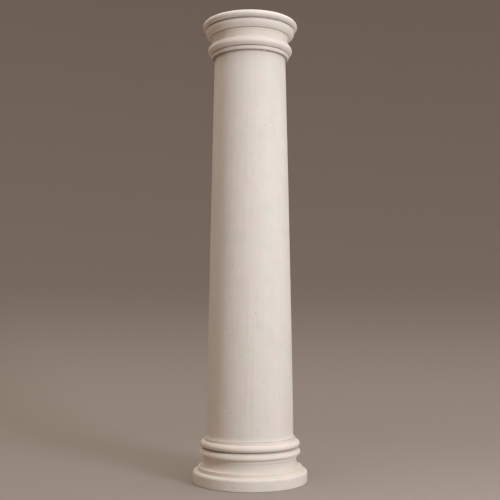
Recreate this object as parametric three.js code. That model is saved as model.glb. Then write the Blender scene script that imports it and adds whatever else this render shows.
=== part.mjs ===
// Doric column of cast stone: a round moulded base, a smooth tapering shaft and a round capital.
// Millimetres, +Z up. The origin is the centre of the base's underside.
// Every piece is turned about the column's axis. A projection is how far a
// moulding stands out from the face of the shaft that is nearest to it.

import * as THREE from "three";

// Facets around the column. A multiple of four, so that the column measures its true width along X and Y.
const facets = 52;

// The bed left between two pieces that stand on each other.
const bedGap = 0.3;

// Shaft.
const shaftLength = 2014.5;
const shaftFootRadius = 228;
const shaftHeadRadius = 192;
const taperCurve = 1.18; // 1 is a straight taper, more keeps the foot fuller
const flareHeight = 22;
const flareSetback = 4; // the flare's foot stays this far inside the fillet it stands on

// Base, from the floor up.
const plinthHeight = 62;
const plinthProjection = 72;
const plinthEdgeRadius = 14.5;
const lipHeight = 20.5;
const lipProjection = 44;
const scotiaHeight = 45;
const scotiaFootProjection = 40;
const scotiaWaistProjection = 14;
const scotiaFilletHeight = 13;
const scotiaFilletProjection = 18;
const lowerTorusHeight = 39;
const lowerTorusProjection = 36.5;
const upperTorusHeight = 37.5;
const upperTorusProjection = 33.8;
const torusGrooveProjection = 2; // the bottom of the groove between the two rounds
const baseFilletHeight = 13.5;
const baseFilletProjection = 11.5;

// Capital, from the shaft's head up.
const beadHeight = 23;
const beadProjection = 17.8;
const beadGrooveProjection = 5;
const collarHeight = 44.5;
const collarProjection = 35.8;
const collarTopProjection = 16; // where the collar's round turns into the neck's hollow foot
const neckHeight = 37.5;
const neckHollowHeight = 10;
const neckFootProjection = 11;
const neckHeadProjection = 15;
const neckFilletHeight = 7.5;
const neckFilletProjection = 20;
const echinusHeight = 40;
const echinusProjection = 48;
const echinusQuirkHeight = 3.5; // the narrow recess between the fillet and the cushion
const echinusQuirkProjection = 16;
const echinusRiseHeight = 8; // the upright band at the top of the cushion
const abacusHeight = 42.5;
const abacusQuirkHeight = 8; // the narrow recess between the cushion and the abacus
const abacusQuirkProjection = 38;
const abacusProjection = 64;
const abacusTopProjection = 48;

// Where the fullest line of each round, and the scotia's narrowest, lies as a share of its own height.
const scotiaWaist = 0.7;
const lowerTorusBelly = 0.32;
const upperTorusBelly = 0.45;
const beadBelly = 0.5;
const collarBelly = 0.4;
const abacusBelly = 0.42;

// Steps in each quarter round.
const fineSteps = 5;
const smallSteps = 3;
const hollowSteps = 2;
const shaftSteps = 11;

// The outline of a turned piece, drawn from the axis at its underside to the axis at its top.
class Outline {
  constructor(face, floor) {
    this.face = face;
    this.height = floor;
    this.points = [new THREE.Vector2(0, floor)];
  }

  get last() {
    return this.points[this.points.length - 1];
  }

  // A level step in or out, to a projection from the face.
  step(projection) {
    this.points.push(new THREE.Vector2(this.face + projection, this.height));
    return this;
  }

  // A straight run up, to a projection from the face.
  rise(rise, projection) {
    this.height += rise;
    return this.step(projection);
  }

  // A quarter of an ellipse up to a projection. It sets off level, or upright.
  quarter(rise, projection, setsOff, steps = fineSteps) {
    const from = this.last.clone();
    const across = this.face + projection - from.x;
    for (let i = 1; i <= steps; i++) {
      const turn = ((i / steps) * Math.PI) / 2;
      const share = setsOff === "level"
        ? new THREE.Vector2(Math.sin(turn), 1 - Math.cos(turn))
        : new THREE.Vector2(1 - Math.cos(turn), Math.sin(turn));
      this.points.push(new THREE.Vector2(from.x + across * share.x, from.y + rise * share.y));
    }
    this.height += rise;
    return this;
  }

  // A full round: out to its fullest line and back in.
  round(rise, projection, belly, topProjection, steps = fineSteps) {
    this.quarter(rise * belly, projection, "level", steps);
    return this.quarter(rise * (1 - belly), topProjection, "upright", steps);
  }

  // The turned solid, closed on the axis at its top.
  solid() {
    this.points.push(new THREE.Vector2(0, this.height));
    const geometry = new THREE.LatheGeometry(this.points, facets);
    geometry.rotateX(Math.PI / 2);
    return geometry;
  }
}

const baseHeight = plinthHeight + lipHeight + scotiaHeight + scotiaFilletHeight
  + lowerTorusHeight + upperTorusHeight + baseFilletHeight;
const shaftFoot = baseHeight + bedGap;
const shaftHead = baseHeight + shaftLength;

function makeBase() {
  const outline = new Outline(shaftFootRadius, 0);
  outline.step(plinthProjection);
  outline.rise(plinthHeight - plinthEdgeRadius, plinthProjection);
  outline.quarter(plinthEdgeRadius, plinthProjection - plinthEdgeRadius, "upright", smallSteps);
  outline.step(lipProjection);
  outline.rise(lipHeight, lipProjection);
  outline.step(scotiaFootProjection);
  outline.quarter(scotiaHeight * scotiaWaist, scotiaWaistProjection, "level");
  outline.quarter(scotiaHeight * (1 - scotiaWaist), scotiaFilletProjection, "upright", smallSteps);
  outline.rise(scotiaFilletHeight, scotiaFilletProjection);
  outline.round(lowerTorusHeight, lowerTorusProjection, lowerTorusBelly, torusGrooveProjection);
  outline.round(upperTorusHeight, upperTorusProjection, upperTorusBelly, baseFilletProjection);
  outline.rise(baseFilletHeight, baseFilletProjection);
  return outline.solid();
}

// The shaft's radius at a share of its length: a taper that is gentlest at the foot.
function shaftRadius(share) {
  return shaftFootRadius - (shaftFootRadius - shaftHeadRadius) * share ** taperCurve;
}

function makeShaft() {
  const length = shaftHead - shaftFoot;
  const flareShare = flareHeight / length;
  const outline = new Outline(0, shaftFoot);
  outline.step(shaftFootRadius + baseFilletProjection - flareSetback);
  outline.quarter(flareHeight, shaftRadius(flareShare), "level", smallSteps);
  const step = (length - flareHeight) / shaftSteps;
  for (let i = 1; i <= shaftSteps; i++) {
    outline.rise(step, shaftRadius((flareHeight + i * step) / length));
  }
  return outline.solid();
}

function makeCapital() {
  const outline = new Outline(shaftHeadRadius, shaftHead + bedGap);
  outline.step(beadGrooveProjection);
  outline.round(beadHeight - bedGap, beadProjection, beadBelly, beadGrooveProjection, smallSteps);
  outline.round(collarHeight, collarProjection, collarBelly, collarTopProjection);
  outline.quarter(neckHollowHeight, neckFootProjection, "level", hollowSteps);
  outline.rise(neckHeight - neckHollowHeight, neckHeadProjection);
  outline.step(neckFilletProjection);
  outline.rise(neckFilletHeight, neckFilletProjection);
  outline.step(echinusQuirkProjection);
  outline.rise(echinusQuirkHeight, echinusQuirkProjection);
  outline.quarter(echinusHeight - echinusQuirkHeight - echinusRiseHeight, echinusProjection, "level");
  outline.rise(echinusRiseHeight, echinusProjection);
  outline.step(abacusQuirkProjection);
  outline.rise(abacusQuirkHeight, abacusQuirkProjection);
  outline.round(abacusHeight - abacusQuirkHeight, abacusProjection, abacusBelly, abacusTopProjection);
  return outline.solid();
}

// One cast stone: matt, pale cream with a little pink in it.
function castStone(color) {
  return new THREE.MeshStandardMaterial({ color, roughness: 0.9, metalness: 0 });
}

function piece(name, geometry, color) {
  const mesh = new THREE.Mesh(geometry, castStone(color));
  mesh.name = name;
  return mesh;
}

const column = new THREE.Group();
column.add(piece("base", makeBase(), 0xd9cdc1));
column.add(piece("shaft", makeShaft(), 0xdfd3c8));
column.add(piece("capital", makeCapital(), 0xddd2c6));

export default column;
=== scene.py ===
"""A Doric column of pale cast stone, free-standing on a plain floor in soft studio light.

The base, the shaft and the capital are each turned from one half outline, as a round moulding is
run with a profile board, and are then pitted, dented, waved and coloured as a hand-finished casting
is, with painted shade in their hollows, creases and joints and a painted highlight on their rubbed
edges. Outlines are in millimetres and meshes in metres.
"""

import math
import random

import bpy
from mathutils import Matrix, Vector, kdtree


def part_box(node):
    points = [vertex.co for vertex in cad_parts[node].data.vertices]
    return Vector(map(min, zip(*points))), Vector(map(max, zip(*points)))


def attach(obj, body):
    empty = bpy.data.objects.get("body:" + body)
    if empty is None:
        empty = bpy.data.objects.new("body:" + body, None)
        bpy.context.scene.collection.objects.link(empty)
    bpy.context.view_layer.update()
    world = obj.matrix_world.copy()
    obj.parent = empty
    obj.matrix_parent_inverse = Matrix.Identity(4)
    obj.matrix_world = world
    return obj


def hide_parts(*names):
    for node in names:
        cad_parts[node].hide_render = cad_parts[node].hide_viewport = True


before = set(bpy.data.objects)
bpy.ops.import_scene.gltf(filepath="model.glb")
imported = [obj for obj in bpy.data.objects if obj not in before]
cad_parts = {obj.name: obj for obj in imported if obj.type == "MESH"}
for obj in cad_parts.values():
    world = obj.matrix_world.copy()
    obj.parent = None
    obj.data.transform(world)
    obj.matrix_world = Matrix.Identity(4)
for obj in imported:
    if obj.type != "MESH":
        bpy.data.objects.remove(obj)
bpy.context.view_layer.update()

MM = 0.001

# Fineness of the turned pieces. Strides, the weld and the margin are in millimetres.
MOULDED_TURNS = 384  # facets round the base and the capital
SHAFT_TURNS = 256
ARC_STEPS = 10  # steps in a quarter round
SMALL_ARC_STEPS = 6
RING_STRIDE = 5  # rings along a straight run are no further apart than this
SHAFT_RING_STRIDE = 11
FLAT_STRIDE = 25  # rings on a flat underside or top
WEAR_STEPS = 3  # steps across a rubbed edge
MARK_CUTS = 4  # each face near a pit or dent is cut this many times both ways
WELD = 0.01  # points nearer to each other than this are made one
CRISP_ANGLE = 40  # faces that meet at more than this many degrees show a crisp edge
MARGIN = 0.5  # the face starts this far inside the solids, so that its waves stay within them

# Sizes in millimetres. A projection is how far a moulding stands out from the face of the shaft
# nearest to it. A belly or waist is the share of its height at which it is fullest or narrowest.
SHAFT_FOOT_RADIUS = 228
SHAFT_HEAD_RADIUS = 192
TAPER_CURVE = 1.18  # 1 is a straight taper, more keeps the foot fuller
FLARE_HEIGHT = 22
FLARE_SETBACK = 4  # the flare's foot stays this far inside the fillet that it stands on

PLINTH_HEIGHT = 62
PLINTH_PROJECTION = 72
PLINTH_EDGE_RADIUS = 14.5
LIP_HEIGHT = 20.5
LIP_PROJECTION = 44
SCOTIA_HEIGHT = 45
SCOTIA_FOOT_PROJECTION = 40
SCOTIA_WAIST = 0.7
SCOTIA_WAIST_PROJECTION = 14
SCOTIA_FILLET_HEIGHT = 13
SCOTIA_FILLET_PROJECTION = 18
LOWER_TORUS_HEIGHT = 39
LOWER_TORUS_PROJECTION = 36.5
LOWER_TORUS_BELLY = 0.32
UPPER_TORUS_HEIGHT = 37.5
UPPER_TORUS_PROJECTION = 33.8
UPPER_TORUS_BELLY = 0.45
TORUS_GROOVE_PROJECTION = 2
BASE_FILLET_PROJECTION = 11.5

BEAD_HEIGHT = 23
BEAD_PROJECTION = 17.8
BEAD_BELLY = 0.5
BEAD_GROOVE_PROJECTION = 5
COLLAR_HEIGHT = 44.5
COLLAR_PROJECTION = 35.8
COLLAR_BELLY = 0.4
COLLAR_TOP_PROJECTION = 16
NECK_HEIGHT = 37.5
NECK_HOLLOW_HEIGHT = 10
NECK_FOOT_PROJECTION = 11
NECK_HEAD_PROJECTION = 15
NECK_FILLET_HEIGHT = 7.5
NECK_FILLET_PROJECTION = 20
ECHINUS_HEIGHT = 40
ECHINUS_PROJECTION = 48
ECHINUS_QUIRK_HEIGHT = 3.5
ECHINUS_QUIRK_PROJECTION = 16
ECHINUS_RISE_HEIGHT = 8
ABACUS_QUIRK_HEIGHT = 8
ABACUS_QUIRK_PROJECTION = 38
ABACUS_PROJECTION = 64
ABACUS_TOP_PROJECTION = 48
ABACUS_BELLY = 0.42

# How far the sharp edges of the casting are rubbed down.
WORN_EDGE = 1.8
CRISP_EDGE = 1.0
FOOT_EDGE = 4.0  # the plinth's lower edge
RUBBED_HIGHLIGHT_REACH = 5  # how far from such an edge the painted highlight and the smoother stone reach

# The face was finished by hand and is nowhere quite true: the grain and the depth of its waves.
BROAD_WAVES = (170, 0.6)
FINE_WAVES = (26, 0.16)
TRUE_ENDS = 2  # the bedded ends stay flat for this far

SHELTER_REACH = 70  # how far up or down a moulding still shelters the face
JOINT_REACH = 4  # how far from a bed joint and from the floor the face is darkened with dust, grime and painted shade

# Marks that the photograph shows, as (turn in degrees from the front to the right, height).
ROUND_PITS = (
    (23, 1845), (-18, 1630), (11, 1056), (7, 873), (-41, 851), (-34, 793), (-11, 651), (16, 525),
    (-26, 370), (-16, 19),
)
UPRIGHT_DENTS = (
    (10, 1950), (0, 1693), (4, 1593), (-30, 1553), (-39, 1236), (-23, 1238), (-33, 1148), (-26, 1119),
    (0, 1094), (-29, 954), (-55, 564), (-54, 468), (-25, 474), (-5, 476), (1, 470), (14, 476), (2, 412),
)
LEVEL_DENTS = ((10, 953), (5, 542), (-32, 396), (9, 283), (-22, 50))
SEEN_SIDE = 62  # past this turn the photograph shows no marks, and stray ones take over

# Each kind of mark: half width, half height, depth, and how softly it runs out.
MARK_SIZES = {
    "round": ((3.5, 5.5), (3.5, 5.5), (1.3, 2.0), 0.7),
    "upright": ((4.0, 6.0), (13, 22), (0.5, 0.9), 1.6),
    "level": ((9, 14), (3.5, 5.0), (0.8, 1.2), 1.4),
}
DEEPEST = 2.0
STRAY_MARKS = {"moulded_base": 12, "smooth_shaft": 46, "round_capital": 10}
STRAY_KINDS = ("round", "round", "upright", "level")  # round ones come twice as often

# The outline of a mark is lobed: how many lobes, how far they reach, and how much its depth turns them.
BROAD_LOBES = (3, 0.22, 40)
NARROW_LOBES = (5, 0.12, 90)

# Colours of the stone. The base and the capital are paler than the shaft, partly their own tone and
# partly painted light that makes up for the shade in their mouldings.
BASE_COLOR = (0.785, 0.708, 0.645)
SHAFT_COLOR = (0.765, 0.695, 0.635)
CAPITAL_COLOR = (0.830, 0.750, 0.683)
PINK_CAST = (1.035, 0.985, 0.975)
OCHRE_CAST = (0.985, 1.005, 0.965)
# Dust, which also paints shade where the mouldings shelter the face.
DUST_AND_SHADE_COLOR = (0.60, 0.49, 0.40)
# Grime, which mostly paints the shade down in the creases and at the joints.
GRIME_AND_SHADE_COLOR = (0.20, 0.15, 0.11)

# Finish of the stone. Grains, patches, spacings, widths and reliefs are in millimetres. A contrast is
# the share by which an effect makes the colour lighter and darker.
SAND = {"Grain": 1.6, "Contrast": 0.16}
COARSE_GRAIN = 4.5  # times the width of the fine grain
CLOUD_PATCH = 75.0
CLOUD_CONTRAST = 0.16
HUE_OFFSET = (3.1, 1.7, 5.3)  # metres, so that the hue drifts on its own and not with the lightness
HUE_RANGE = (0.38, 0.62)  # the noise at which the stone is pinkest, and that at which it is most ochre
PINHOLES = {"Spacing": 13.0, "Width": 2.6, "Share": 0.16}
NARROWEST_HOLE = 0.15  # as a share of the width
HOLE_VARIETY = 0.35  # how much more of the width the widest hole has
HOLE_CURVE = 0.6
BASE_LINES = {"Spacing": 4.5, "Contrast": 0.16}
CAPITAL_LINES = {"Spacing": 4.0, "Contrast": 0.12}
LINE_DRIFT_GRAIN = 160.0
LINE_DRIFT = 0.006  # metres that a line strays up and down on its way round
LINE_FADE_GRAIN = 55.0
LINE_FADE = (0.35, 0.65)
STREAK_STRETCH = 0.03  # how much slower a streak changes up the shaft than across it
BROAD_STREAK = 16.0
NARROW_STREAK = 5.0
STREAK_CONTRAST = 0.16
MAIN_SHARE = 0.6  # of the first where two noises are blended
GRAIN_RELIEF = 0.16
LINE_RELIEF = 0.25
HOLE_RELIEF = -0.7
REFLECTION = 0.3

# Age, with painted shade and painted highlight. A range runs from how sheltered a face is where an
# effect starts to where it is full.
DUST_AND_SHADE_RANGE = (0.30, 0.85)
GRIME_AND_SHADE_RANGE = (0.50, 0.80)
PATCHINESS_GRAIN = 22.0
PATCHINESS_RANGE = (0.3, 0.7, 0.45, 1.0)  # its low and high, and how much dust, grime and painted light hold there
PIT_DIRT = 0.55
PIT_DIRT_CURVE = 0.7
HOLE_DIRT = 0.6
# How much lighter a rubbed edge is: partly wear, partly a painted highlight.
RUBBED_HIGHLIGHT = 0.09
RUBBED_SMOOTHER = -0.08
STONE_ROUGHNESS = 0.86

# Studio. The cove's outline is in millimetres, and all else in metres and degrees.
COVE_RADIUS = 1800
COVE_CURVE = 5600
COVE_HEIGHT = 6500
COVE_TURNS = 96
COVE_STEPS = 24
FLOOR_COLOR = (0.345, 0.295, 0.26)
WALL_COLOR = (0.23, 0.19, 0.17)
WALL_FADE = (0.0, 1.3)  # the heights between which the floor's colour turns into the wall's
PAINT_ROUGHNESS = 0.9
PAINT_REFLECTION = 0.2
WORLD_COLOR = (1.0, 0.89, 0.75)
WORLD_STRENGTH = 1.0

# Lamps, as (turn from the front to the right, distance out, height, width, spread, watts, colour).
LAMPS = {
    "key": (42, 4.45, 1.85, 1.2, 150, 88, (0.82, 0.90, 1.0)),
    "front": (5, 6.0, 1.5, 3.0, 180, 12, (1.0, 0.91, 0.86)),
    "overhead": (5, 0.9, 5.6, 4.0, 180, 88, (0.78, 0.88, 1.0)),
}
LAMP_AIM = (0, 0, 1.2)

# Camera, in metres. The sensor is in millimetres and what is read from the photograph in pixels.
CAMERA_DISTANCE = 4.503
CAMERA_HEIGHT = 0.876
SENSOR_WIDTH = 36
PHOTO_WIDTH_PX = 500
FOCAL_LENGTH_PX = 845
HORIZON_ROW_PX = 313


def level_of(node, end):
    """The height in millimetres of a node's underside (0) or top (1)."""
    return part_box(node)[end].z / MM


class Outline:
    """The half outline of a turned piece, from the axis at its underside to the axis at its top."""

    def __init__(self, face, floor, margin=MARGIN):
        self.face = face - margin
        self.height = floor
        self.points = [(0.0, floor)]
        self.edges = []

    def run(self, projection, rise=0.0, wear=None, stride=RING_STRIDE):
        """A straight run to a projection from the face. wear rounds the edge that it ends at."""
        radius, height = self.points[-1]
        across = self.face + projection - radius
        rings = math.ceil(math.hypot(across, rise) / stride)
        for i in range(1, rings + 1):
            self.points.append((radius + across * i / rings, height + rise * i / rings))
        self.height += rise
        if wear:
            self.edges.append((self.points[-1], wear))

    def quarter(self, rise, projection, sets_off, steps=ARC_STEPS):
        """A quarter of an ellipse up to a projection. It sets off level, or upright."""
        radius, height = self.points[-1]
        across = self.face + projection - radius
        for i in range(1, steps + 1):
            turn = math.pi / 2 * i / steps
            if sets_off == "level":
                out, up = math.sin(turn), 1 - math.cos(turn)
            else:
                out, up = 1 - math.cos(turn), math.sin(turn)
            self.points.append((radius + across * out, height + rise * up))
        self.height += rise

    def round(self, rise, projection, belly, top_projection, steps=ARC_STEPS):
        """A full round: out to its fullest line and back in."""
        self.quarter(rise * belly, projection, "level", steps)
        self.quarter(rise * (1 - belly), top_projection, "upright", steps)

    def top(self):
        """The flat top, in to the axis."""
        self.run(-self.face, stride=FLAT_STRIDE)
        return self

    def radius_at(self, height):
        """The outermost radius at a height."""
        radii = []
        for (r0, h0), (r1, h1) in zip(self.points, self.points[1:]):
            if h0 <= height < h1:
                radii.append(r0 + (r1 - r0) * (height - h0) / (h1 - h0))
        return max(radii)


def base_outline():
    outline = Outline(SHAFT_FOOT_RADIUS, level_of("base", 0))
    outline.run(PLINTH_PROJECTION, wear=FOOT_EDGE, stride=FLAT_STRIDE)
    outline.run(PLINTH_PROJECTION, PLINTH_HEIGHT - PLINTH_EDGE_RADIUS)
    outline.quarter(PLINTH_EDGE_RADIUS, PLINTH_PROJECTION - PLINTH_EDGE_RADIUS, "upright")
    outline.run(LIP_PROJECTION, wear=CRISP_EDGE)
    outline.run(LIP_PROJECTION, LIP_HEIGHT, wear=WORN_EDGE)
    outline.run(SCOTIA_FOOT_PROJECTION)
    outline.quarter(SCOTIA_HEIGHT * SCOTIA_WAIST, SCOTIA_WAIST_PROJECTION, "level")
    outline.quarter(SCOTIA_HEIGHT * (1 - SCOTIA_WAIST), SCOTIA_FILLET_PROJECTION, "upright",
                    SMALL_ARC_STEPS)
    outline.run(SCOTIA_FILLET_PROJECTION, SCOTIA_FILLET_HEIGHT)
    outline.round(LOWER_TORUS_HEIGHT, LOWER_TORUS_PROJECTION, LOWER_TORUS_BELLY, TORUS_GROOVE_PROJECTION)
    outline.round(UPPER_TORUS_HEIGHT, UPPER_TORUS_PROJECTION, UPPER_TORUS_BELLY, BASE_FILLET_PROJECTION)
    outline.run(BASE_FILLET_PROJECTION, level_of("base", 1) - outline.height, wear=WORN_EDGE)
    return outline.top()


def shaft_outline():
    foot, head = level_of("shaft", 0), level_of("shaft", 1)
    length = head - foot

    def radius(share):
        return SHAFT_FOOT_RADIUS - (SHAFT_FOOT_RADIUS - SHAFT_HEAD_RADIUS) * share ** TAPER_CURVE

    outline = Outline(0, foot)
    flare_radius = SHAFT_FOOT_RADIUS + BASE_FILLET_PROJECTION - FLARE_SETBACK
    outline.run(flare_radius, wear=CRISP_EDGE, stride=FLAT_STRIDE)
    outline.quarter(FLARE_HEIGHT, radius(FLARE_HEIGHT / length), "level", SMALL_ARC_STEPS)
    rings = math.ceil((length - FLARE_HEIGHT) / SHAFT_RING_STRIDE)
    ring = (length - FLARE_HEIGHT) / rings
    for i in range(1, rings + 1):
        # The stride is longer than the run, so each run has one ring.
        outline.run(radius((FLARE_HEIGHT + i * ring) / length), ring, stride=2 * ring)
    return outline.top()


def capital_outline():
    outline = Outline(SHAFT_HEAD_RADIUS, level_of("capital", 0))
    bead_rise = level_of("shaft", 1) + BEAD_HEIGHT - outline.height
    outline.run(BEAD_GROOVE_PROJECTION, stride=FLAT_STRIDE)
    outline.round(bead_rise, BEAD_PROJECTION, BEAD_BELLY, BEAD_GROOVE_PROJECTION, SMALL_ARC_STEPS)
    outline.round(COLLAR_HEIGHT, COLLAR_PROJECTION, COLLAR_BELLY, COLLAR_TOP_PROJECTION)
    outline.quarter(NECK_HOLLOW_HEIGHT, NECK_FOOT_PROJECTION, "level", SMALL_ARC_STEPS)
    outline.run(NECK_HEAD_PROJECTION, NECK_HEIGHT - NECK_HOLLOW_HEIGHT)
    outline.run(NECK_FILLET_PROJECTION, wear=CRISP_EDGE)
    outline.run(NECK_FILLET_PROJECTION, NECK_FILLET_HEIGHT, wear=CRISP_EDGE)
    outline.run(ECHINUS_QUIRK_PROJECTION)
    outline.run(ECHINUS_QUIRK_PROJECTION, ECHINUS_QUIRK_HEIGHT)
    echinus_rise = ECHINUS_HEIGHT - ECHINUS_QUIRK_HEIGHT - ECHINUS_RISE_HEIGHT
    outline.quarter(echinus_rise, ECHINUS_PROJECTION, "level")
    outline.run(ECHINUS_PROJECTION, ECHINUS_RISE_HEIGHT, wear=WORN_EDGE)
    outline.run(ABACUS_QUIRK_PROJECTION)
    outline.run(ABACUS_QUIRK_PROJECTION, ABACUS_QUIRK_HEIGHT)
    abacus_rise = level_of("capital", 1) - outline.height
    outline.round(abacus_rise, ABACUS_PROJECTION, ABACUS_BELLY, ABACUS_TOP_PROJECTION)
    return outline.top()


def nothing_selected():
    """Leaves edit mode and lets go of every object."""
    if bpy.context.mode != "OBJECT":
        bpy.ops.object.mode_set(mode="OBJECT")
    bpy.ops.object.select_all(action="DESELECT")


def select_only(piece):
    nothing_selected()
    bpy.context.view_layer.objects.active = piece
    piece.select_set(True)


def on_the_outline(point):
    """Where a point of an outline lies in the mesh before it is spun."""
    return Vector((point[0] * MM, 0, point[1] * MM))


def select_corner(piece, corner):
    """In edit mode, selects the one vertex of the outline that lies at a corner."""
    bpy.ops.mesh.select_all(action="DESELECT")
    bpy.ops.object.mode_set(mode="OBJECT")
    nearest = min(piece.data.vertices, key=lambda vertex: (vertex.co - corner).length)
    nearest.select = True
    bpy.ops.object.mode_set(mode="EDIT")


def turned(name, outline, turns):
    """A turned piece. The outline is drawn point by point, its edges are rubbed, and it is spun."""
    nothing_selected()
    bpy.ops.mesh.primitive_plane_add(size=MM)
    piece = bpy.context.object
    piece.name = piece.data.name = name
    bpy.ops.object.mode_set(mode="EDIT")
    bpy.ops.mesh.select_mode(type="VERT")
    bpy.ops.mesh.select_all(action="SELECT")
    bpy.ops.mesh.merge(type="CENTER")
    here = on_the_outline(outline.points[0])
    bpy.ops.transform.translate(value=here)
    for point in outline.points[1:]:
        there = on_the_outline(point)
        bpy.ops.mesh.extrude_region_move(TRANSFORM_OT_translate={"value": there - here})
        here = there
    for point, wear in outline.edges:
        select_corner(piece, on_the_outline(point))
        bpy.ops.mesh.bevel(offset=wear * MM, segments=WEAR_STEPS, affect="VERTICES")
    bpy.ops.mesh.select_all(action="SELECT")
    bpy.ops.mesh.spin(steps=turns, angle=math.tau, center=(0, 0, 0), axis=(0, 0, 1))
    bpy.ops.mesh.select_all(action="SELECT")
    bpy.ops.mesh.remove_doubles(threshold=WELD * MM)
    bpy.ops.mesh.normals_make_consistent(inside=False)
    bpy.ops.object.mode_set(mode="OBJECT")
    bpy.ops.object.shade_smooth_by_angle(angle=math.radians(CRISP_ANGLE))
    return piece


def on_the_face(outline, turn, height):
    """The place in metres on the face of a turned piece, and the level direction along the face."""
    angle = math.radians(turn)
    radius = outline.radius_at(height) * MM
    place = Vector((radius * math.sin(angle), -radius * math.cos(angle), height * MM))
    return place, Vector((math.cos(angle), math.sin(angle), 0))


def marks_on(piece, outline, seed):
    """The marks of a piece, as (place, direction along it, half width, half height, depth, softness)."""
    foot, head = outline.points[0][1], outline.points[-1][1]
    draw = random.Random(seed)
    shown = {"round": ROUND_PITS, "upright": UPRIGHT_DENTS, "level": LEVEL_DENTS}
    wanted = [(kind, *spot) for kind, spots in shown.items() for spot in spots if foot < spot[1] < head]
    for _ in range(STRAY_MARKS[piece.name]):
        kind = draw.choice(STRAY_KINDS)
        wanted.append((kind, draw.uniform(SEEN_SIDE, 360 - SEEN_SIDE), draw.uniform(foot, head)))
    marks = []
    for kind, turn, height in wanted:
        *ranges, softness = MARK_SIZES[kind]
        sizes = [draw.uniform(*extent) for extent in ranges]
        marks.append((*on_the_face(outline, turn, height), *sizes, softness))
    return marks


def refine_near(piece, marks):
    """Cuts the faces under the marks finer, so that a mark only millimetres wide keeps its shape."""
    faces = piece.data.polygons
    tree = kdtree.KDTree(len(faces))
    for face in faces:
        tree.insert(face.center, face.index)
    tree.balance()
    select_only(piece)
    bpy.ops.object.mode_set(mode="EDIT")
    bpy.ops.mesh.select_mode(type="FACE")
    bpy.ops.mesh.select_all(action="DESELECT")
    bpy.ops.object.mode_set(mode="OBJECT")
    for place, _, half_width, half_height, _, _ in marks:
        for _, index, _ in tree.find_range(place, (max(half_width, half_height) + RING_STRIDE) * MM):
            faces[index].select = True
    bpy.ops.object.mode_set(mode="EDIT")
    bpy.ops.mesh.subdivide(number_cuts=MARK_CUTS)
    bpy.ops.object.mode_set(mode="OBJECT")


def add_attribute(piece, name, values):
    attribute = piece.data.attributes.new(name, "FLOAT", "POINT")
    attribute.data.foreach_set("value", values)


def displace(piece, name, depth, mid_level, group, texture=None):
    """Moves the face along its normals, by a texture or only by a vertex group."""
    modifier = piece.modifiers.new(name, "DISPLACE")
    modifier.texture = texture
    modifier.texture_coords = "LOCAL"
    modifier.strength = depth * MM
    modifier.mid_level = mid_level
    modifier.vertex_group = group.name
    select_only(piece)
    bpy.ops.object.modifier_apply(modifier=name)


def lobe(bearing, depth, lobes, reach, turn):
    """How far a mark's outline is pushed in or out at a bearing from its middle."""
    return reach * math.sin(lobes * bearing + depth * turn)


def press_marks(piece, outline, seed):
    """Presses the pits and dents into the face, and keeps where they are as an attribute."""
    marks = marks_on(piece, outline, seed)
    refine_near(piece, marks)
    vertices = piece.data.vertices
    tree = kdtree.KDTree(len(vertices))
    for vertex in vertices:
        tree.insert(vertex.co, vertex.index)
    tree.balance()
    depths = [0.0] * len(vertices)
    for place, along, half_width, half_height, depth, softness in marks:
        for spot, index, _ in tree.find_range(place, max(half_width, half_height) * MM):
            offset = (spot - place) / MM
            across = offset.dot(along)
            up = math.copysign(math.sqrt(max(0.0, offset.length_squared - across ** 2)), offset.z)
            bearing = math.atan2(up, across)
            lobed = 1 + lobe(bearing, depth, *BROAD_LOBES) + lobe(bearing, depth, *NARROW_LOBES)
            off = ((across / half_width) ** 2 + (up / half_height) ** 2) * lobed
            if off < 1:
                depths[index] = max(depths[index], depth * (1 - off) ** softness)
    group = piece.vertex_groups.new(name="marks")
    for index, depth in enumerate(depths):
        if depth > 0:
            group.add([index], depth / DEEPEST, "REPLACE")
    add_attribute(piece, "pit", [depth / DEEPEST for depth in depths])
    displace(piece, "marks", -DEEPEST, 0, group)


def finish_by_hand(piece, outline):
    """Gives the face its waves, broad and fine, and leaves the bedded ends flat."""
    low, high = outline.points[0][1] + TRUE_ENDS, outline.points[-1][1] - TRUE_ENDS
    group = piece.vertex_groups.new(name="face")
    between = [vertex.index for vertex in piece.data.vertices if low < vertex.co.z / MM < high]
    group.add(between, 1, "REPLACE")
    for name, (grain, depth) in (("broad_waves", BROAD_WAVES), ("fine_waves", FINE_WAVES)):
        clouds = bpy.data.textures.new(f"{piece.name}_{name}", "CLOUDS")
        clouds.noise_scale = grain * MM
        clouds.noise_depth = 1
        displace(piece, name, depth, 0.5, group, clouds)


def shelter_along(points):
    """How sheltered each point of an outline is: the share of its view, from straight up round to
    straight down, that the mouldings near it cover."""
    sheltered = []
    for radius, height in points:
        above = below = 0.0
        for other_radius, other_height in points:
            out, rise = other_radius - radius, other_height - height
            if out > 0 and 0 < rise < SHELTER_REACH:
                above = max(above, math.atan2(out, rise))
            elif out > 0 and 0 < -rise < SHELTER_REACH:
                below = max(below, math.atan2(out, -rise))
        sheltered.append((above + below) / math.pi)
    return sheltered


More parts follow.
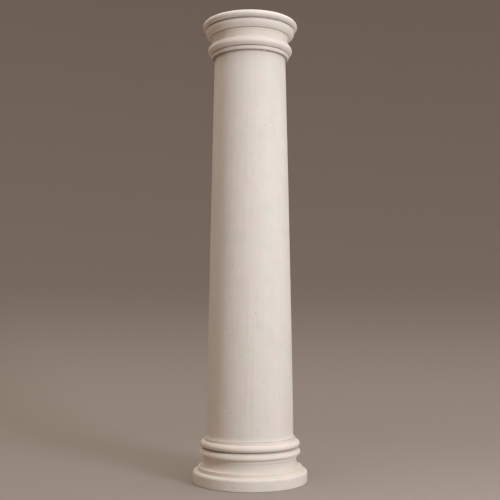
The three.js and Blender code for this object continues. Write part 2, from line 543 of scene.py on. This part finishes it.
def mark_wear_and_painted_light(piece, outline, points, sheltered):
    """Keeps on each vertex how sheltered it is and how near it lies to a rubbed edge. The stone paints
    shade where it is sheltered and a highlight on the rubbed edge.
    """
    tree = kdtree.KDTree(len(points))
    for index, point in enumerate(points):
        tree.insert((*point, 0), index)
    tree.balance()
    joints = (level_of("base", 0), level_of("shaft", 0), level_of("shaft", 1))
    shelter, edge = [], []
    for vertex in piece.data.vertices:
        place = (math.hypot(vertex.co.x, vertex.co.y) / MM, vertex.co.z / MM)
        to_joint = min(abs(place[1] - joint) for joint in joints)
        # Near a joint or the floor the face counts as sheltered, so it gets painted shade there too.
        shelter.append(max(sheltered[tree.find((*place, 0))[1]], 1 - to_joint / JOINT_REACH))
        nearest = min((math.dist(place, corner) for corner, _ in outline.edges), default=RUBBED_HIGHLIGHT_REACH)
        edge.append(max(0.0, 1 - nearest / RUBBED_HIGHLIGHT_REACH))
    add_attribute(piece, "shelter", shelter)
    add_attribute(piece, "edge", edge)


def add_node(tree, kind, inputs=None, **settings):
    """A node with its settings. Each input is a plain value, or the output that it is joined to."""
    node = tree.nodes.new(kind)
    for name, value in settings.items():
        setattr(node, name, value)
    for socket, value in (inputs or {}).items():
        if isinstance(value, bpy.types.NodeSocket):
            tree.links.new(value, node.inputs[socket])
        else:
            node.inputs[socket].default_value = value
    return node


def maths(tree, operation, *values, clamp=False):
    """The result of a Math node."""
    inputs = dict(enumerate(values))
    return add_node(tree, "ShaderNodeMath", inputs, operation=operation, use_clamp=clamp).outputs[0]


def noise(tree, place, grain, detail=2.0, roughness=0.5):
    """Noise between 0 and 1 with its grain in millimetres, which is a value or an output."""
    scale = maths(tree, "DIVIDE", 1 / MM, grain)
    inputs = {"Vector": place, "Scale": scale, "Detail": detail, "Roughness": roughness}
    return add_node(tree, "ShaderNodeTexNoise", inputs).outputs["Fac"]


def rescale(tree, value, low, high, to_low=0.0, to_high=1.0, slope="LINEAR"):
    """A value mapped from one range to another, and held there."""
    inputs = {"Value": value, "From Min": low, "From Max": high, "To Min": to_low, "To Max": to_high}
    return add_node(tree, "ShaderNodeMapRange", inputs, interpolation_type=slope).outputs["Result"]


def mixed(tree, share, first, second, blend="MIX"):
    """One colour mixed into another. The sockets for colours are known by their numbers alone."""
    inputs = {0: share, 6: first, 7: second}
    return add_node(tree, "ShaderNodeMix", inputs, data_type="RGBA", blend_type=blend).outputs[2]


def shaded(tree, color, shade):
    """A colour made lighter or darker by a value near 1."""
    parts = {"Red": shade, "Green": shade, "Blue": shade}
    grey = add_node(tree, "ShaderNodeCombineColor", parts).outputs[0]
    return mixed(tree, 1.0, color, grey, "MULTIPLY")


def blended(tree, main, other):
    """Two noises as one, with somewhat more of the first."""
    rest = maths(tree, "MULTIPLY", other, 1 - MAIN_SHARE)
    return maths(tree, "MULTIPLY_ADD", main, MAIN_SHARE, rest)


def shade_from(tree, value, contrast):
    """A shade near 1, from a noise."""
    centred = maths(tree, "SUBTRACT", value, 0.5)
    return maths(tree, "MULTIPLY_ADD", centred, contrast, 1.0)


def new_group(name, inputs, outputs):
    """A shader node group with named sockets. Returns its tree, its inputs and its output node."""
    tree = bpy.data.node_groups.new(name, "ShaderNodeTree")
    for direction, sockets in (("INPUT", inputs), ("OUTPUT", outputs)):
        for socket, kind in sockets.items():
            tree.interface.new_socket(socket, in_out=direction, socket_type=f"NodeSocket{kind}")
    entrance = tree.nodes.new("NodeGroupInput")
    exit_node = tree.nodes.new("NodeGroupOutput")
    return tree, entrance.outputs, exit_node


def finish_group(tree, exit_node, results):
    """Joins what a group has made to its outputs."""
    for socket, value in results.items():
        tree.links.new(value, exit_node.inputs[socket])
    return tree


def use_group(tree, group, inputs):
    """A group placed in a material with its own values."""
    return add_node(tree, "ShaderNodeGroup", inputs, node_tree=group).outputs


def sand_grain_group():
    """The fine sandy grain of cast stone, with a few coarser grains in it."""
    tree, given, exit_node = new_group(
        "sand_grain", {"Place": "Vector", "Grain": "Float", "Contrast": "Float"},
        {"Shade": "Float", "Relief": "Float"})
    fine = noise(tree, given["Place"], given["Grain"], detail=3.0, roughness=0.65)
    coarse_grain = maths(tree, "MULTIPLY", given["Grain"], COARSE_GRAIN)
    coarse = noise(tree, given["Place"], coarse_grain, detail=2.0, roughness=0.6)
    both = blended(tree, fine, coarse)
    shade = shade_from(tree, both, given["Contrast"])
    return finish_group(tree, exit_node, {"Shade": shade, "Relief": both})


def cloudy_cast_group():
    """Soft patches where the stone is a little pinker, a little more ochre, lighter or darker."""
    tree, given, exit_node = new_group(
        "cloudy_cast", {"Place": "Vector", "Color": "Color", "Patch": "Float", "Strength": "Float"},
        {"Color": "Color"})
    moved = add_node(tree, "ShaderNodeVectorMath", {0: given["Place"], 1: HUE_OFFSET}, operation="ADD")
    lightness = noise(tree, given["Place"], given["Patch"], detail=4.0, roughness=0.55)
    hue = rescale(tree, noise(tree, moved.outputs[0], given["Patch"], detail=3.0), *HUE_RANGE)
    cast = mixed(tree, hue, (*PINK_CAST, 1), (*OCHRE_CAST, 1))
    fully_tinted = mixed(tree, 1.0, given["Color"], cast, "MULTIPLY")
    tinted = mixed(tree, given["Strength"], given["Color"], fully_tinted)
    drift = maths(tree, "MULTIPLY", maths(tree, "SUBTRACT", lightness, 0.5), given["Strength"])
    shade = maths(tree, "MULTIPLY_ADD", drift, CLOUD_CONTRAST, 1.0)
    return finish_group(tree, exit_node, {"Color": shaded(tree, tinted, shade)})


def pinholes_group():
    """Pinholes left by air in the casting. Most cells of the pattern have none."""
    tree, given, exit_node = new_group(
        "pinholes", {"Place": "Vector", "Spacing": "Float", "Width": "Float", "Share": "Float"},
        {"Hole": "Float"})
    scale = maths(tree, "DIVIDE", 1 / MM, given["Spacing"])
    cells = add_node(tree, "ShaderNodeTexVoronoi", {"Vector": given["Place"], "Scale": scale})
    distance = maths(tree, "MULTIPLY", cells.outputs["Distance"], given["Spacing"])
    random_parts = add_node(tree, "ShaderNodeSeparateColor", {"Color": cells.outputs["Color"]}).outputs
    wideness = maths(tree, "MULTIPLY_ADD", random_parts[1], HOLE_VARIETY, NARROWEST_HOLE)
    radius = maths(tree, "MULTIPLY", wideness, given["Width"])
    depth = maths(tree, "SUBTRACT", 1.0, maths(tree, "DIVIDE", distance, radius), clamp=True)
    has_one = maths(tree, "LESS_THAN", random_parts[0], given["Share"])
    hole = maths(tree, "MULTIPLY", maths(tree, "POWER", depth, HOLE_CURVE), has_one)
    return finish_group(tree, exit_node, {"Hole": hole})


def run_lines_group():
    """Faint lines that run round the mouldings, left by the profile board that shaped the mould."""
    tree, given, exit_node = new_group(
        "run_lines", {"Place": "Vector", "Spacing": "Float", "Contrast": "Float"},
        {"Shade": "Float", "Relief": "Float"})
    axes = add_node(tree, "ShaderNodeSeparateXYZ", {"Vector": given["Place"]}).outputs
    level = add_node(tree, "ShaderNodeCombineXYZ", {"X": axes[0], "Y": axes[1]}).outputs[0]
    radius = add_node(tree, "ShaderNodeVectorMath", {0: level}, operation="LENGTH").outputs["Value"]
    drift = maths(tree, "MULTIPLY", noise(tree, given["Place"], LINE_DRIFT_GRAIN, detail=1.0), LINE_DRIFT)
    height = maths(tree, "ADD", axes[2], drift)
    along = add_node(tree, "ShaderNodeCombineXYZ", {"X": radius, "Y": height}).outputs[0]
    lines = noise(tree, along, given["Spacing"], detail=3.0, roughness=0.6)
    fade = rescale(tree, noise(tree, given["Place"], LINE_FADE_GRAIN), *LINE_FADE)
    faded = maths(tree, "MULTIPLY", maths(tree, "SUBTRACT", lines, 0.5), fade)
    shade = maths(tree, "MULTIPLY_ADD", faded, given["Contrast"], 1.0)
    return finish_group(tree, exit_node, {"Shade": shade, "Relief": maths(tree, "ADD", faded, 0.5)})


def age_and_painted_light_group():
    """Dust and painted shade where the mouldings shelter the face, dust in the pits, grime and painted
    shade down in the creases and at the joints, and a painted highlight on smoother, rubbed edges."""
    tree, given, exit_node = new_group(
        "age_and_painted_light", {"Color": "Color", "Shelter": "Float", "Pit": "Float", "Edge_Wear_and_Highlight": "Float", "Hole": "Float",
                "Place": "Vector", "Dust_and_Shade": "Float", "Grime_and_Shade": "Float"},
        {"Color": "Color", "Roughness": "Float"})
    patchiness_noise = noise(tree, given["Place"], PATCHINESS_GRAIN, detail=4.0, roughness=0.6)
    patchy = rescale(tree, patchiness_noise, *PATCHINESS_RANGE)
    # Dust and painted shade where the face is sheltered.
    dust_and_shade_mask = maths(tree, "MULTIPLY", rescale(tree, given["Shelter"], *DUST_AND_SHADE_RANGE), patchy)
    dust_and_shade = maths(tree, "MULTIPLY", dust_and_shade_mask, given["Dust_and_Shade"])
    pitted = maths(tree, "MULTIPLY", maths(tree, "POWER", given["Pit"], PIT_DIRT_CURVE), PIT_DIRT)
    holed = maths(tree, "MULTIPLY", given["Hole"], HOLE_DIRT)
    dust_and_shade_share = maths(tree, "MAXIMUM", dust_and_shade, maths(tree, "MAXIMUM", pitted, holed), clamp=True)
    dusty_and_shaded = mixed(tree, dust_and_shade_share, given["Color"], (*DUST_AND_SHADE_COLOR, 1))
    # Grime and painted shade down in the creases and at the joints.
    grime_and_shade_mask = maths(tree, "MULTIPLY", rescale(tree, given["Shelter"], *GRIME_AND_SHADE_RANGE), patchy)
    grimy_and_shaded = mixed(tree, maths(tree, "MULTIPLY", grime_and_shade_mask, given["Grime_and_Shade"]), dusty_and_shaded, (*GRIME_AND_SHADE_COLOR, 1))
    # A painted highlight, with some wear, on rubbed edges.
    rubbed_highlight_mask = maths(tree, "MULTIPLY", given["Edge_Wear_and_Highlight"], patchy)
    rubbed_highlight = maths(tree, "MULTIPLY_ADD", rubbed_highlight_mask, RUBBED_HIGHLIGHT, 1.0)
    roughness = maths(tree, "MULTIPLY_ADD", given["Edge_Wear_and_Highlight"], RUBBED_SMOOTHER, STONE_ROUGHNESS)
    return finish_group(tree, exit_node, {"Color": shaded(tree, grimy_and_shaded, rubbed_highlight), "Roughness": roughness})


def cast_stone(name, color, effects, lines, cloud_strength, dust_and_shade, grime_and_shade):
    """One casting's stone. lines adds the marks of the tool: it returns their shade and relief."""
    material = bpy.data.materials.new(name)
    material.use_nodes = True
    tree = material.node_tree
    shader = tree.nodes["Principled BSDF"]
    place = add_node(tree, "ShaderNodeTexCoord").outputs["Object"]

    def kept(attribute):
        return add_node(tree, "ShaderNodeAttribute", attribute_name=attribute).outputs["Fac"]

    grain = use_group(tree, effects["sand_grain"], {"Place": place, **SAND})
    clouds = use_group(tree, effects["cloudy_cast"], {
        "Place": place, "Color": (*color, 1), "Patch": CLOUD_PATCH, "Strength": cloud_strength})
    holes = use_group(tree, effects["pinholes"], {"Place": place, **PINHOLES})
    line_shade, line_relief = lines(tree, place)
    worked = shaded(tree, shaded(tree, clouds["Color"], grain["Shade"]), line_shade)
    # This group paints shade into the hollows and creases and a highlight onto the rubbed edges.
    aged_and_painted = use_group(tree, effects["age_and_painted_light"], {
        "Color": worked, "Shelter": kept("shelter"), "Pit": kept("pit"), "Edge_Wear_and_Highlight": kept("edge"),
        "Hole": holes["Hole"], "Place": place, "Dust_and_Shade": dust_and_shade, "Grime_and_Shade": grime_and_shade})
    line_height = maths(tree, "MULTIPLY", line_relief, LINE_RELIEF)
    grain_height = maths(tree, "MULTIPLY_ADD", grain["Relief"], GRAIN_RELIEF, line_height)
    height = maths(tree, "MULTIPLY_ADD", holes["Hole"], HOLE_RELIEF, grain_height)
    bump = add_node(tree, "ShaderNodeBump", {"Height": height, "Strength": 1.0, "Distance": MM})
    tree.links.new(aged_and_painted["Color"], shader.inputs["Base Color"])
    tree.links.new(aged_and_painted["Roughness"], shader.inputs["Roughness"])
    tree.links.new(bump.outputs["Normal"], shader.inputs["Normal"])
    shader.inputs["Specular IOR Level"].default_value = REFLECTION
    return material


def board_lines(effects, settings):
    """The lines that the profile board leaves, with a casting's own values."""
    def lines(tree, place):
        made = use_group(tree, effects["run_lines"], {"Place": place, **settings})
        return made["Shade"], made["Relief"]
    return lines


def trowel_streaks(tree, place):
    """Faint streaks that run up the shaft, drawn by the trowel."""
    settings = {"Vector": place, "Scale": (1, 1, STREAK_STRETCH)}
    stretched = add_node(tree, "ShaderNodeMapping", settings).outputs[0]
    both = blended(tree, noise(tree, stretched, BROAD_STREAK), noise(tree, stretched, NARROW_STREAK))
    return shade_from(tree, both, STREAK_CONTRAST), both


# Each casting's share of dust and grime also sets how much painted shade its hollows and creases get.
def base_stone(effects):
    return cast_stone("base_stone", BASE_COLOR, effects, board_lines(effects, BASE_LINES),
                      cloud_strength=1.0, dust_and_shade=0.30, grime_and_shade=0.35)


def shaft_stone(effects):
    return cast_stone("shaft_stone", SHAFT_COLOR, effects, trowel_streaks,
                      cloud_strength=0.8, dust_and_shade=0.20, grime_and_shade=0.75)


def capital_stone(effects):
    return cast_stone("capital_stone", CAPITAL_COLOR, effects, board_lines(effects, CAPITAL_LINES),
                      cloud_strength=0.8, dust_and_shade=0.28, grime_and_shade=0.80)


def build_column():
    """The three castings, each standing for its solid."""
    outlines = {"base": base_outline(), "shaft": shaft_outline(), "capital": capital_outline()}
    points = [point for outline in outlines.values() for point in outline.points]
    sheltered = shelter_along(points)
    effects = {"sand_grain": sand_grain_group(), "cloudy_cast": cloudy_cast_group(),
               "pinholes": pinholes_group(), "run_lines": run_lines_group(), "age_and_painted_light": age_and_painted_light_group()}
    castings = (
        ("base", "moulded_base", MOULDED_TURNS, base_stone),
        ("shaft", "smooth_shaft", SHAFT_TURNS, shaft_stone),
        ("capital", "round_capital", MOULDED_TURNS, capital_stone),
    )
    for seed, (node, name, turns, stone) in enumerate(castings, 1):
        outline = outlines[node]
        piece = turned(name, outline, turns)
        press_marks(piece, outline, seed)
        finish_by_hand(piece, outline)
        mark_wear_and_painted_light(piece, outline, points, sheltered)
        piece.data.materials.append(stone(effects))
        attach(piece, "root")
        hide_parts(node)


def build_camera():
    """The camera where the photograph was taken from, tilted so that the horizon falls on its row."""
    bpy.ops.object.camera_add(location=(0, -CAMERA_DISTANCE, CAMERA_HEIGHT))
    camera = bpy.context.object
    tilt = math.atan((HORIZON_ROW_PX - PHOTO_WIDTH_PX / 2) / FOCAL_LENGTH_PX)
    camera.rotation_euler = (math.pi / 2 + tilt, 0, 0)
    camera.data.sensor_width = SENSOR_WIDTH
    camera.data.lens = SENSOR_WIDTH * FOCAL_LENGTH_PX / PHOTO_WIDTH_PX
    bpy.context.scene.camera = camera


def cove_paint():
    """Plain paint, paler on the floor than on the wall."""
    paint = bpy.data.materials.new("cove_paint")
    paint.use_nodes = True
    tree = paint.node_tree
    shader = tree.nodes["Principled BSDF"]
    place = add_node(tree, "ShaderNodeTexCoord").outputs["Object"]
    height = add_node(tree, "ShaderNodeSeparateXYZ", {"Vector": place}).outputs["Z"]
    fade = rescale(tree, height, *WALL_FADE, slope="SMOOTHSTEP")
    tree.links.new(mixed(tree, fade, (*FLOOR_COLOR, 1), (*WALL_COLOR, 1)), shader.inputs["Base Color"])
    shader.inputs["Roughness"].default_value = PAINT_ROUGHNESS
    shader.inputs["Specular IOR Level"].default_value = PAINT_REFLECTION
    return paint


def build_cove():
    """A round floor that curves up into the wall all the way round."""
    outline = Outline(0, 0, margin=0)
    outline.run(COVE_RADIUS, stride=COVE_RADIUS)
    outline.quarter(COVE_CURVE, COVE_RADIUS + COVE_CURVE, "level", COVE_STEPS)
    outline.run(COVE_RADIUS + COVE_CURVE, COVE_HEIGHT - COVE_CURVE, stride=COVE_HEIGHT)
    backdrop = turned("cove", outline, COVE_TURNS)
    backdrop.data.materials.append(cove_paint())


def build_lamp(name, turn, out, height, width, spread, watts, color):
    angle = math.radians(turn)
    place = Vector((out * math.sin(angle), -out * math.cos(angle), height))
    bpy.ops.object.light_add(type="AREA", location=place)
    lamp = bpy.context.object
    lamp.name = lamp.data.name = name
    lamp.data.size = width
    lamp.data.spread = math.radians(spread)
    lamp.data.energy = watts
    lamp.data.color = color
    lamp.rotation_euler = (Vector(LAMP_AIM) - place).to_track_quat("-Z", "Y").to_euler()
    lamp.visible_camera = False


def build_studio():
    build_cove()
    for name, lamp in LAMPS.items():
        build_lamp(name, *lamp)
    world = bpy.data.worlds.new("studio")
    world.use_nodes = True
    background = world.node_tree.nodes["Background"]
    background.inputs["Color"].default_value = (*WORLD_COLOR, 1)
    background.inputs["Strength"].default_value = WORLD_STRENGTH
    bpy.context.scene.world = world
    bpy.context.scene.view_settings.view_transform = "Standard"


build_column()
build_camera()
build_studio()
